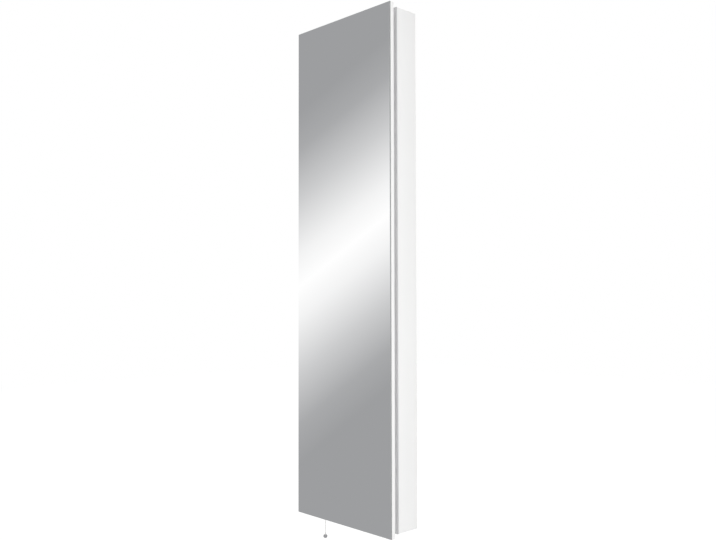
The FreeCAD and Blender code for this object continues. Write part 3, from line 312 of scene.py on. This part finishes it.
def begin(name, primitive, **place):
    """Adds a primitive alone, as a piece's start, and puts its place into its mesh."""
    bpy.ops.object.select_all(action="DESELECT")
    primitive(**place)
    piece = bpy.context.object
    piece.name = piece.data.name = name
    bpy.ops.object.transform_apply(location=True, rotation=True, scale=True)
    return piece


def pick(piece, test, kind="FACE"):
    """Goes into edit mode with only the faces or edges selected that pass a test.

    The test gets the middle of a face and its normal, or of an edge and its direction.
    """
    bpy.context.view_layer.objects.active = piece
    bpy.ops.object.mode_set(mode="EDIT")
    bpy.ops.mesh.select_mode(type=kind)
    bpy.ops.mesh.select_all(action="DESELECT")
    bpy.ops.object.mode_set(mode="OBJECT")
    mesh = piece.data
    if kind == "FACE":
        for face in mesh.polygons:
            face.select = test(face.center, face.normal)
    else:
        for edge in mesh.edges:
            start, end = (mesh.vertices[i].co for i in edge.vertices)
            edge.select = test((start + end) / 2, (end - start).normalized())
    bpy.ops.object.mode_set(mode="EDIT")


def along(axis, nearly=0.9):
    """A test for edges that run along an axis, or faces that look along it either way."""
    return lambda middle, way: abs(way["XYZ".index(axis)]) > nearly


def done():
    """Leaves edit mode."""
    bpy.ops.object.mode_set(mode="OBJECT")


def smooth(piece, angle=35):
    """Shades a piece smooth, apart from edges sharper than an angle in degrees."""
    bpy.ops.object.select_all(action="DESELECT")
    piece.select_set(True)
    bpy.context.view_layer.objects.active = piece
    bpy.ops.object.shade_smooth_by_angle(angle=math.radians(angle))


def hand_over(piece, finish, slot, body, *nodes):
    """Gives a finished piece its finish and its body, and hides the CAD nodes that it stands for.
    """
    piece.data.materials.append(finish)
    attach(piece, body)
    if nodes:
        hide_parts(*nodes)


low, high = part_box("cord_inner_run")
inner_cord = begin(
    "inner_cord",
    bpy.ops.mesh.primitive_cylinder_add,
    vertices=24,
    radius=cord_diameter / 2,
    depth=high.z - low.z,
    location=(cord_exit[0], cord_exit[1], (low.z + high.z) / 2),
)
pick(inner_cord, along("Z"), "EDGE")
bpy.ops.mesh.subdivide(number_cuts=6)
pick(inner_cord, along("Z"))
bpy.ops.mesh.inset(thickness=cord_end_rim, depth=0)
done()
smooth(inner_cord)
hand_over(inner_cord, braid, "cord", "pull", "cord_inner_run")


# ---- The knob ---------------------------------------------------------------
# A turned white plastic collar grips the cord above a satin chrome ball, in which the
# cord's end is held. The ball is ground flat underneath.
knob_top = -0.656
collar_height = 0.004
collar_radii = (0.0022, 0.0014)
collar_lip = 0.0004
collar_recess = 0.0008
collar_edge = 0.00015
ball_radius = 0.005
ball_middle = knob_top - collar_height - math.sqrt(ball_radius**2 - collar_radii[0] ** 2)
ball_flat = 0.0002
flat_level = ball_middle - ball_radius + ball_flat


def facing(direction, nearly=0.9):
    """A test for faces that look in a direction."""
    return lambda middle, normal: normal.dot(Vector(direction)) > nearly


def press(piece, kind, **settings):
    """Applies a modifier to the piece."""
    bpy.context.view_layer.objects.active = piece
    modifier = piece.modifiers.new(kind, kind)
    for name, value in settings.items():
        setattr(modifier, name, value)
    bpy.ops.object.modifier_apply(modifier=modifier.name)


collar = begin(
    "knob_collar",
    bpy.ops.mesh.primitive_cone_add,
    vertices=32,
    radius1=collar_radii[0],
    radius2=collar_radii[1],
    depth=collar_height,
    location=(cord_exit[0], cord_exit[1], knob_top - collar_height / 2),
)
pick(collar, facing((0, 0, 1)))
bpy.ops.mesh.inset(thickness=collar_lip, depth=0)
bpy.ops.mesh.extrude_region_move(TRANSFORM_OT_translate={"value": (0, 0, -collar_recess)})
done()
press(collar, "BEVEL", width=collar_edge, segments=3, limit_method="ANGLE")
smooth(collar)

ball = begin(
    "knob_ball",
    bpy.ops.mesh.primitive_uv_sphere_add,
    segments=48,
    ring_count=32,
    radius=ball_radius,
    location=(cord_exit[0], cord_exit[1], ball_middle),
)
pick(ball, lambda middle, normal: True)
bpy.ops.mesh.bisect(
    plane_co=(0, 0, flat_level),
    plane_no=(0, 0, -1),
    use_fill=True,
    clear_outer=True,
)
done()
smooth(ball, angle=30)


def polish(finish, amount, glossy, dull, low=0.3, high=0.7):
    """Varies the roughness from glossy to dull as a pattern goes from low to high."""
    reach = finish.node_tree.nodes.new("ShaderNodeMapRange")
    for socket, value in zip(reach.inputs[1:5], (low, high, glossy, dull)):
        socket.default_value = value
    finish.node_tree.links.new(amount, reach.inputs[0])
    feed(finish, reach.outputs[0], "Roughness")


def pattern(finish, kind, stretch, output=0, **settings):
    """A pattern over a piece. stretch is how often it repeats in a metre, along X, Y and Z."""
    tree = finish.node_tree
    place = tree.nodes.new("ShaderNodeTexCoord")
    fit = tree.nodes.new("ShaderNodeMapping")
    fit.inputs["Scale"].default_value = stretch
    texture = tree.nodes.new("ShaderNodeTex" + kind)
    tree.links.new(place.outputs["Object"], fit.inputs["Vector"])
    tree.links.new(fit.outputs["Vector"], texture.inputs["Vector"])
    for name, value in settings.items():
        if name in texture.inputs:
            texture.inputs[name].default_value = value
        else:
            setattr(texture, name, value)
    return texture.outputs[output]


def cloud(finish, per_metre, detail=3.0):
    """Cloudy noise, the same along every axis."""
    return pattern(finish, "Noise", (per_metre,) * 3, Scale=1.0, Detail=detail)


moulded = new_finish(
    "moulded_white_plastic", (0.80, 0.80, 0.78), 0.42, {"Specular IOR Level": 0.45}
)
tint(moulded, cloud(moulded, 40), (0.77, 0.77, 0.75), (0.82, 0.82, 0.80))
polish(moulded, cloud(moulded, 260), glossy=0.36, dull=0.5)
relief(moulded, pattern(moulded, "Voronoi", (2200,) * 3, Scale=1.0), height=0.00003)
hand_over(collar, moulded, "white_plastic", "pull")

satin_chrome = new_finish("satin_chrome", (0.56, 0.56, 0.57), 0.2, {"Metallic": 1.0})
tint(satin_chrome, cloud(satin_chrome, 900), (0.50, 0.50, 0.51), (0.60, 0.60, 0.61))
polish(satin_chrome, cloud(satin_chrome, 1500), glossy=0.16, dull=0.28)
hand_over(ball, satin_chrome, "chrome", "pull", "pull_knob")


# ---- The carcass ------------------------------------------------------------
# Four boards of 12 mm fibreboard, dowelled and glued at the corners and sprayed in satin
# white lacquer. A thin melamine-faced back is screwed into a step in the sides.
def lay_on(finish, *nodes):
    """Gives CAD nodes their finish."""
    for name in nodes:
        mesh = frame["nodes"][name].data
        if not mesh.materials:
            mesh.materials.append(None)
        for i in range(len(mesh.materials)):
            mesh.materials[i] = finish


lacquer = new_finish(
    "satin_white_lacquer", (0.91, 0.91, 0.905), 0.34, {"Coat Weight": 0.15, "Coat Roughness": 0.25}
)
tint(lacquer, cloud(lacquer, 5, detail=2), (0.90, 0.90, 0.895), (0.92, 0.92, 0.915))
polish(lacquer, cloud(lacquer, 90), glossy=0.30, dull=0.40)
relief(lacquer, cloud(lacquer, 650, detail=1), height=0.00002)
lay_on(lacquer, "left_side_panel", "right_side_panel", "top_panel", "bottom_panel")

melamine = new_finish("white_melamine", (0.80, 0.80, 0.79), 0.45)
tint(melamine, cloud(melamine, 14), (0.795, 0.795, 0.785), (0.815, 0.815, 0.805))
polish(melamine, cloud(melamine, 400), glossy=0.4, dull=0.55)
relief(melamine, pattern(melamine, "Voronoi", (1400,) * 3, Scale=1.0), height=0.00004)
lay_on(melamine, "back_panel")

beech = new_finish("beech", (0.62, 0.44, 0.27), 0.62)
grain = pattern(beech, "Noise", (25, 600, 600), Scale=1.0, Detail=5.0)
tint(beech, grain, (0.50, 0.33, 0.19), (0.70, 0.52, 0.33))
relief(beech, pattern(beech, "Noise", (40, 1800, 1800), Scale=1.0), height=0.00006)
lay_on(beech, "corner_dowels")


# ---- Screws, plates and the cable's gland -----------------------------------
# Steel fixings in bright zinc: the screws of the back, the frame and the cover, and the
# four pressed plates for the wall's screws. A grey rubber gland lines the hole for the
# mains cable.
zinc = new_finish("bright_zinc", (0.62, 0.64, 0.66), 0.32, {"Metallic": 1.0})
spangle = pattern(zinc, "Voronoi", (260,) * 3, output="Color", Scale=1.0)
tint(zinc, spangle, (0.54, 0.56, 0.58), (0.70, 0.71, 0.72), low=0.1, high=0.9)
polish(zinc, spangle, glossy=0.24, dull=0.42, low=0.1, high=0.9)
relief(zinc, cloud(zinc, 1500), height=0.00002)
lay_on(zinc, "back_panel_screws", "frame_and_cover_screws", "wall_plates")

grey_rubber = new_finish("grey_rubber", (0.42, 0.42, 0.42), 0.6, {"Specular IOR Level": 0.3})
tint(grey_rubber, cloud(grey_rubber, 120), (0.36, 0.36, 0.36), (0.47, 0.47, 0.47))
relief(grey_rubber, cloud(grey_rubber, 2400), height=0.00004)
lay_on(grey_rubber, "cable_gland")


# ---- The front frame --------------------------------------------------------
# Four satin anodised aluminium bars are screwed inside the carcass's mouth, and angle
# strips cap its rim. They leave a channel for the fingers behind the door's right edge,
# and two plated magnets in the right bar hold the door shut.
lines_per_metre = 2600.0
breaks_per_metre = 7.0


def drawn_metal(name, colour, roughness, drawn_along, metallic=1.0):
    """Metal with fine lines left by drawing or brushing along one axis."""
    finish = new_finish(name, colour, roughness, {"Metallic": metallic})
    stretch = [breaks_per_metre if axis == drawn_along else lines_per_metre for axis in "XYZ"]
    lines = pattern(finish, "Noise", stretch, Scale=1.0, Detail=3.0)
    dark, pale = ([c * share for c in colour] for share in (0.93, 1.05))
    tint(finish, lines, dark, pale)
    polish(finish, lines, glossy=roughness - 0.06, dull=roughness + 0.08)
    relief(finish, lines, height=0.00002)
    return finish


anodised = (0.725, 0.725, 0.73)
upright, crossbar = (
    drawn_metal("anodised_" + name, anodised, 0.42, drawn_along, metallic=0.5)
    for name, drawn_along in (("upright", "Z"), ("crossbar", "X"))
)
lay_on(upright, "frame_left_stile", "frame_right_stile", "rim_trims")
lay_on(crossbar, "frame_top_rail", "frame_bottom_rail")

magnet_plate = new_finish("plated_magnet", (0.45, 0.45, 0.46), 0.35, {"Metallic": 1.0})
tint(magnet_plate, cloud(magnet_plate, 300), (0.40, 0.40, 0.41), (0.52, 0.52, 0.53))
polish(magnet_plate, cloud(magnet_plate, 700), glossy=0.28, dull=0.48)
lay_on(magnet_plate, "catch_magnets")


# ---- The hinges -------------------------------------------------------------
# Three butt hinges of pressed steel, plated in satin nickel, with a pin through five
# knuckles. Their leaves are screwed to the left bar and to the back of the door.
nickel = drawn_metal("satin_nickel", (0.66, 0.655, 0.64), 0.30, "Z")
lay_on(nickel, "hinge_frame_leaves", "hinge_door_leaves", "hinge_pins")
lay_on(nickel, "hinge_frame_screws", "hinge_door_screws")


# ---- The door ---------------------------------------------------------------
# A lacquered board with one full-length sheet of silvered float glass glued on its front.
# The glass's sides and the arris round its front are ground, and show as a thin grey line.
# Zinc-plated strike plates for the magnets and rubber bumpers are fixed to its back.
lay_on(lacquer, "door_panel")
lay_on(zinc, "strike_plates")
lay_on(grey_rubber, "door_bumpers")

glass_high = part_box("mirror_glass")[1]
ground_edge = 0.0008
silver = (silver_shine,) * 3
ground_glass = (0.29, 0.30, 0.30)
silvered = new_finish("silvered_glass", silver, 0.0, {"Metallic": 1.0})
tree = silvered.node_tree
spot = spot_on(tree)
off_middle = reckon(tree, "ABSOLUTE", spot["X"])
past_side = reckon(tree, "SUBTRACT", off_middle, glass_high.x - ground_edge)
off_middle = reckon(tree, "ABSOLUTE", spot["Z"])
past_end = reckon(tree, "SUBTRACT", off_middle, glass_high.z - ground_edge)
on_edge = reckon(tree, "GREATER_THAN", reckon(tree, "MAXIMUM", past_side, past_end), 0.0)
tint(silvered, on_edge, silver, ground_glass, low=0.0, high=1.0)
polish(silvered, on_edge, glossy=0.0, dull=0.4, low=0.0, high=1.0)
feed(silvered, reckon(tree, "SUBTRACT", 1.0, on_edge), "Metallic")
lay_on(silvered, "mirror_glass")


# ---- The velvet linings -----------------------------------------------------
# Thin foam boards wrapped in charcoal velvet, one glued to the cabinet's back and one to
# the back of the door. The wrapped edges are rounded and the pile lies unevenly, and its
# sheen is painted into the colour as lighter and darker patches.
def velvet_finish(name, colour):
    """Short pile, lying this way and that, with a sheen, and with patches painted lighter and
    darker as painted sheen.
    """
    finish = new_finish(
        name,
        colour,
        0.85,
        {
            "Sheen Weight": 0.7,
            "Sheen Roughness": 0.35,
            "Sheen Tint": (0.55, 0.55, 0.60, 1),
            "Specular IOR Level": 0.15,
        },
    )
    pile_and_painted_sheen = pattern(finish, "Noise", (16, 16, 9), Scale=1.0, Detail=4.0, Distortion=0.6)
    dark, pale = ([c * share for c in colour] for share in (0.85, 1.25))
    # Painted sheen: where the pile lies differently it is coloured in lighter and darker patches.
    tint(finish, pile_and_painted_sheen, dark, pale)
    relief(finish, cloud(finish, 1700, detail=2), height=0.0003, strength=0.7)
    relief(finish, pile_and_painted_sheen, height=0.0006, strength=0.3)
    return finish


velvet = velvet_finish("charcoal_velvet", (0.046, 0.046, 0.051))
wrapped_edge = 0.0011
lengthwise_cuts = 71
crosswise_cuts = 17


def uneven(piece, depth, size):
    """Lets a soft surface fall back by no more than depth, in lumps of about a size."""
    lumps = bpy.data.textures.new("lumps", "CLOUDS")
    lumps.noise_scale = size
    lumps.noise_depth = 1
    press(piece, "DISPLACE", texture=lumps, strength=depth, mid_level=1.0, texture_coords="LOCAL")
    bpy.data.textures.remove(lumps)


def wrapped_board(name, node, body):
    """A velvet-covered board in the place of a CAD node."""
    low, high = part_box(node)
    board = begin(
        name,
        bpy.ops.mesh.primitive_cube_add,
        size=1,
        location=(low + high) / 2,
        scale=high - low,
    )
    pick(board, along("Z"), "EDGE")
    bpy.ops.mesh.subdivide(number_cuts=lengthwise_cuts)
    pick(board, along("X"), "EDGE")
    bpy.ops.mesh.subdivide(number_cuts=crosswise_cuts)
    done()
    press(board, "BEVEL", width=wrapped_edge, segments=4, limit_method="ANGLE")
    uneven(board, depth=0.0003, size=0.05)
    smooth(board)
    hand_over(board, velvet, "velvet", body, node)


wrapped_board("velvet_back_board", "back_lining", "cabinet")
wrapped_board("velvet_door_board", "door_lining", "door")


# ---- Rails, hooks and shelves -----------------------------------------------
# A melamine-faced rail across the cabinet's back and one across the door, with bent and
# chromed wire hooks for necklaces. Shelves of the same board lie on zinc-plated pins, each
# with a chromed rail.
chrome = new_finish("polished_chrome", (0.80, 0.80, 0.81), 0.06, {"Metallic": 1.0})
tint(chrome, cloud(chrome, 60), (0.76, 0.76, 0.77), (0.83, 0.83, 0.84))
polish(chrome, cloud(chrome, 500), glossy=0.04, dull=0.12)
lay_on(chrome, "necklace_hooks", "door_hooks", "shelf_rails")
lay_on(melamine, "necklace_rail", "door_hook_rail", "shelf_upper", "shelf_middle", "shelf_lower")
lay_on(zinc, "shelf_pins")


# ---- The watch bar ----------------------------------------------------------
# A foam tube in velvet between two melamine-faced brackets. The cover is sewn shut along
# the back, and its round ends are set in and finished with a turned edge.
bar_low, bar_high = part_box("watch_bar")
bar_radius = (bar_high.z - bar_low.z) / 2
bar_axis = (bar_low + bar_high) / 2
round_side = bar_radius * 0.9
seam_depth = 0.0006
seam_width = 0.0012


def soft_tube(name, low, high, sides, stations, turned_edge):
    """A velvet tube along X with turned-in ends."""
    tube = begin(
        name,
        bpy.ops.mesh.primitive_cylinder_add,
        vertices=sides,
        radius=(high.z - low.z) / 2,
        depth=high.x - low.x,
        location=(low + high) / 2,
        rotation=(0, math.pi / 2, 0),
    )
    pick(tube, along("X"), "EDGE")
    bpy.ops.mesh.subdivide(number_cuts=stations)
    pick(tube, along("X"))
    bpy.ops.mesh.inset(thickness=turned_edge, depth=0)
    bpy.ops.mesh.inset(thickness=turned_edge / 2, depth=-turned_edge / 2)
    done()
    press(
        tube,
        "BEVEL",
        width=turned_edge / 3,
        segments=3,
        limit_method="ANGLE",
        angle_limit=math.radians(50),
    )
    return tube


watch_tube = soft_tube(
    "padded_watch_bar", bar_low, bar_high, sides=48, stations=60, turned_edge=0.0024
)
for vertex in watch_tube.data.vertices:
    offset = Vector((0, vertex.co.y - bar_axis.y, vertex.co.z - bar_axis.z))
    if offset.length > round_side:
        off_seam = math.atan2(abs(offset.z), offset.y) * bar_radius
        vertex.co -= offset.normalized() * seam_depth * math.exp(-((off_seam / seam_width) ** 2))
uneven(watch_tube, depth=0.0005, size=0.02)
smooth(watch_tube, angle=50)
hand_over(watch_tube, velvet, "velvet", "cabinet", "watch_bar")
lay_on(melamine, "watch_bar_brackets")


# ---- The ring tray ----------------------------------------------------------
# A shallow wooden tray wrapped in velvet, on the cabinet's back. Eight foam rolls lie in
# it side by side, each in its own velvet sleeve, and grip the rings between them.
tray_low, tray_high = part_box("ring_tray")
tray_wall = 0.004
tray_base = 0.002
tray_well = tray_high.y - tray_low.y - tray_base
tray = begin(
    "velvet_ring_tray",
    bpy.ops.mesh.primitive_cube_add,
    size=1,
    location=(tray_low + tray_high) / 2,
    scale=tray_high - tray_low,
)
pick(tray, facing((0, -1, 0)))
bpy.ops.mesh.inset(thickness=tray_wall, depth=0)
bpy.ops.mesh.extrude_region_move(TRANSFORM_OT_translate={"value": (0, tray_well, 0)})
done()
press(tray, "BEVEL", width=wrapped_edge, segments=4, limit_method="ANGLE")
smooth(tray)
hand_over(tray, velvet, "velvet", "cabinet", "ring_tray")

roll_count = 8
rolls_low, rolls_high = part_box("ring_cushion")
roll_size = rolls_high.y - rolls_low.y
roll_pitch = (rolls_high.z - rolls_low.z - roll_size) / (roll_count - 1)
first_low = Vector((rolls_low.x, rolls_low.y, rolls_high.z - roll_size))
rolls = soft_tube("ring_rolls", first_low, rolls_high, sides=32, stations=48, turned_edge=0.0015)
uneven(rolls, depth=0.0006, size=0.014)
bpy.ops.object.select_all(action="DESELECT")
rolls.select_set(True)
for i in range(1, roll_count):
    bpy.ops.object.duplicate()
    bpy.ops.transform.translate(value=(0, 0, -roll_pitch))
    bpy.ops.object.transform_apply(location=True, rotation=True, scale=True)
bpy.ops.object.select_pattern(pattern="ring_rolls*", extend=False)
bpy.context.view_layer.objects.active = rolls
bpy.ops.object.join()
smooth(rolls, angle=50)
hand_over(rolls, velvet, "velvet", "cabinet", "ring_cushion")


# ---- Clear trays and earring bars -------------------------------------------
# Polished clear acrylic, 2 mm thick: three open trays glued to the door's lining, and
# four slotted bars for earrings between two melamine-faced uprights.
acrylic = new_finish(
    "clear_acrylic", (0.97, 0.985, 0.985), 0.03, {"Transmission Weight": 1.0, "IOR": 1.49}
)
polish(acrylic, cloud(acrylic, 300, detail=6), glossy=0.01, dull=0.09, low=0.35, high=0.8)
tint(acrylic, cloud(acrylic, 30), (0.955, 0.975, 0.975), (0.98, 0.99, 0.99))
lay_on(acrylic, "door_trays", "earring_bars")
lay_on(melamine, "earring_uprights")


# ---- The switch, driver and cover -------------------------------------------
# Moulded white plastic housings on the bottom panel, joined by sheathed leads, behind a
# folded, powder-coated steel cover. The switch's coil spring closes up as the cord is
# pulled, and trunking takes a lead up to the lamp.
lay_on(moulded, "switch_housing", "switch_lid", "pull_slider", "driver_box", "terminal_block")
lay_on(moulded, "cable_trunking", "cord_bush")

spring_wire = 0.00045
spring_turns = 6
spring_low, spring_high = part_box("return_spring")
spring_rise = spring_high.z - spring_low.z - 2 * spring_wire
coil = begin(
    "coil_spring",
    bpy.ops.mesh.primitive_circle_add,
    vertices=12,
    radius=spring_wire,
    location=((spring_high.x - spring_low.x) / 2 - spring_wire, 0, spring_low.z + spring_wire),
    rotation=(math.pi / 2, 0, 0),
)
press(
    coil,
    "SCREW",
    axis="Z",
    angle=2 * math.pi,
    screw_offset=spring_rise / spring_turns,
    iterations=spring_turns,
    steps=32,
)
pick(coil, lambda middle, normal: True)
bpy.ops.mesh.fill_holes(sides=0)
bpy.ops.mesh.normals_make_consistent(inside=False)
done()
smooth(coil)
bpy.ops.transform.translate(value=(cord_exit[0], cord_exit[1], 0))
bpy.ops.object.transform_apply(location=True, rotation=True, scale=True)
hand_over(coil, zinc, "zinc_steel", "cabinet", "return_spring")
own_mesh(coil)

powder_coat = new_finish("grey_powder_coat", (0.36, 0.37, 0.38), 0.5, {"Specular IOR Level": 0.4})
tint(powder_coat, cloud(powder_coat, 30), (0.33, 0.34, 0.35), (0.39, 0.40, 0.41))
polish(powder_coat, cloud(powder_coat, 800), glossy=0.42, dull=0.6)
relief(powder_coat, pattern(powder_coat, "Voronoi", (1100,) * 3, Scale=1.0), height=0.00008)
lay_on(powder_coat, "service_cover")

sheath = new_finish("white_sheath", (0.74, 0.74, 0.73), 0.45)
tint(sheath, cloud(sheath, 200), (0.70, 0.70, 0.69), (0.77, 0.77, 0.76))
relief(sheath, cloud(sheath, 900), height=0.00005)
lay_on(sheath, "switch_leads", "lamp_lead")


# ---- The lamp ---------------------------------------------------------------
# A row of sixteen small light chips on a white circuit board, in a folded steel channel
# under the top panel with a plastic cap on each end. A bowed strip of frosted plastic
# snaps in below them.
lay_on(powder_coat, "lamp_housing")
lay_on(moulded, "lamp_end_caps")

board_thickness = 0.0012
below_board = 0.0003
board_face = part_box("lamp_board")[1].z - board_thickness
circuit = new_finish("white_circuit_board", (0.78, 0.78, 0.75), 0.3)
tree = circuit.node_tree
chips = reckon(tree, "LESS_THAN", spot_on(tree)["Z"], board_face - below_board)
tint(circuit, chips, (0.78, 0.78, 0.75), (0.80, 0.66, 0.22), low=0.0, high=1.0)
polish(circuit, cloud(circuit, 500), glossy=0.25, dull=0.4)
lay_on(circuit, "lamp_board")

frosted = new_finish("frosted_diffuser", (0.86, 0.86, 0.85), 0.55, {"Subsurface Weight": 0.2})
tint(frosted, cloud(frosted, 60), (0.84, 0.84, 0.83), (0.88, 0.88, 0.87))
ribs = pattern(frosted, "Wave", (1, 900, 1), Scale=1.0, bands_direction="Y")
relief(frosted, ribs, height=0.00008)
lay_on(frosted, "lamp_diffuser")
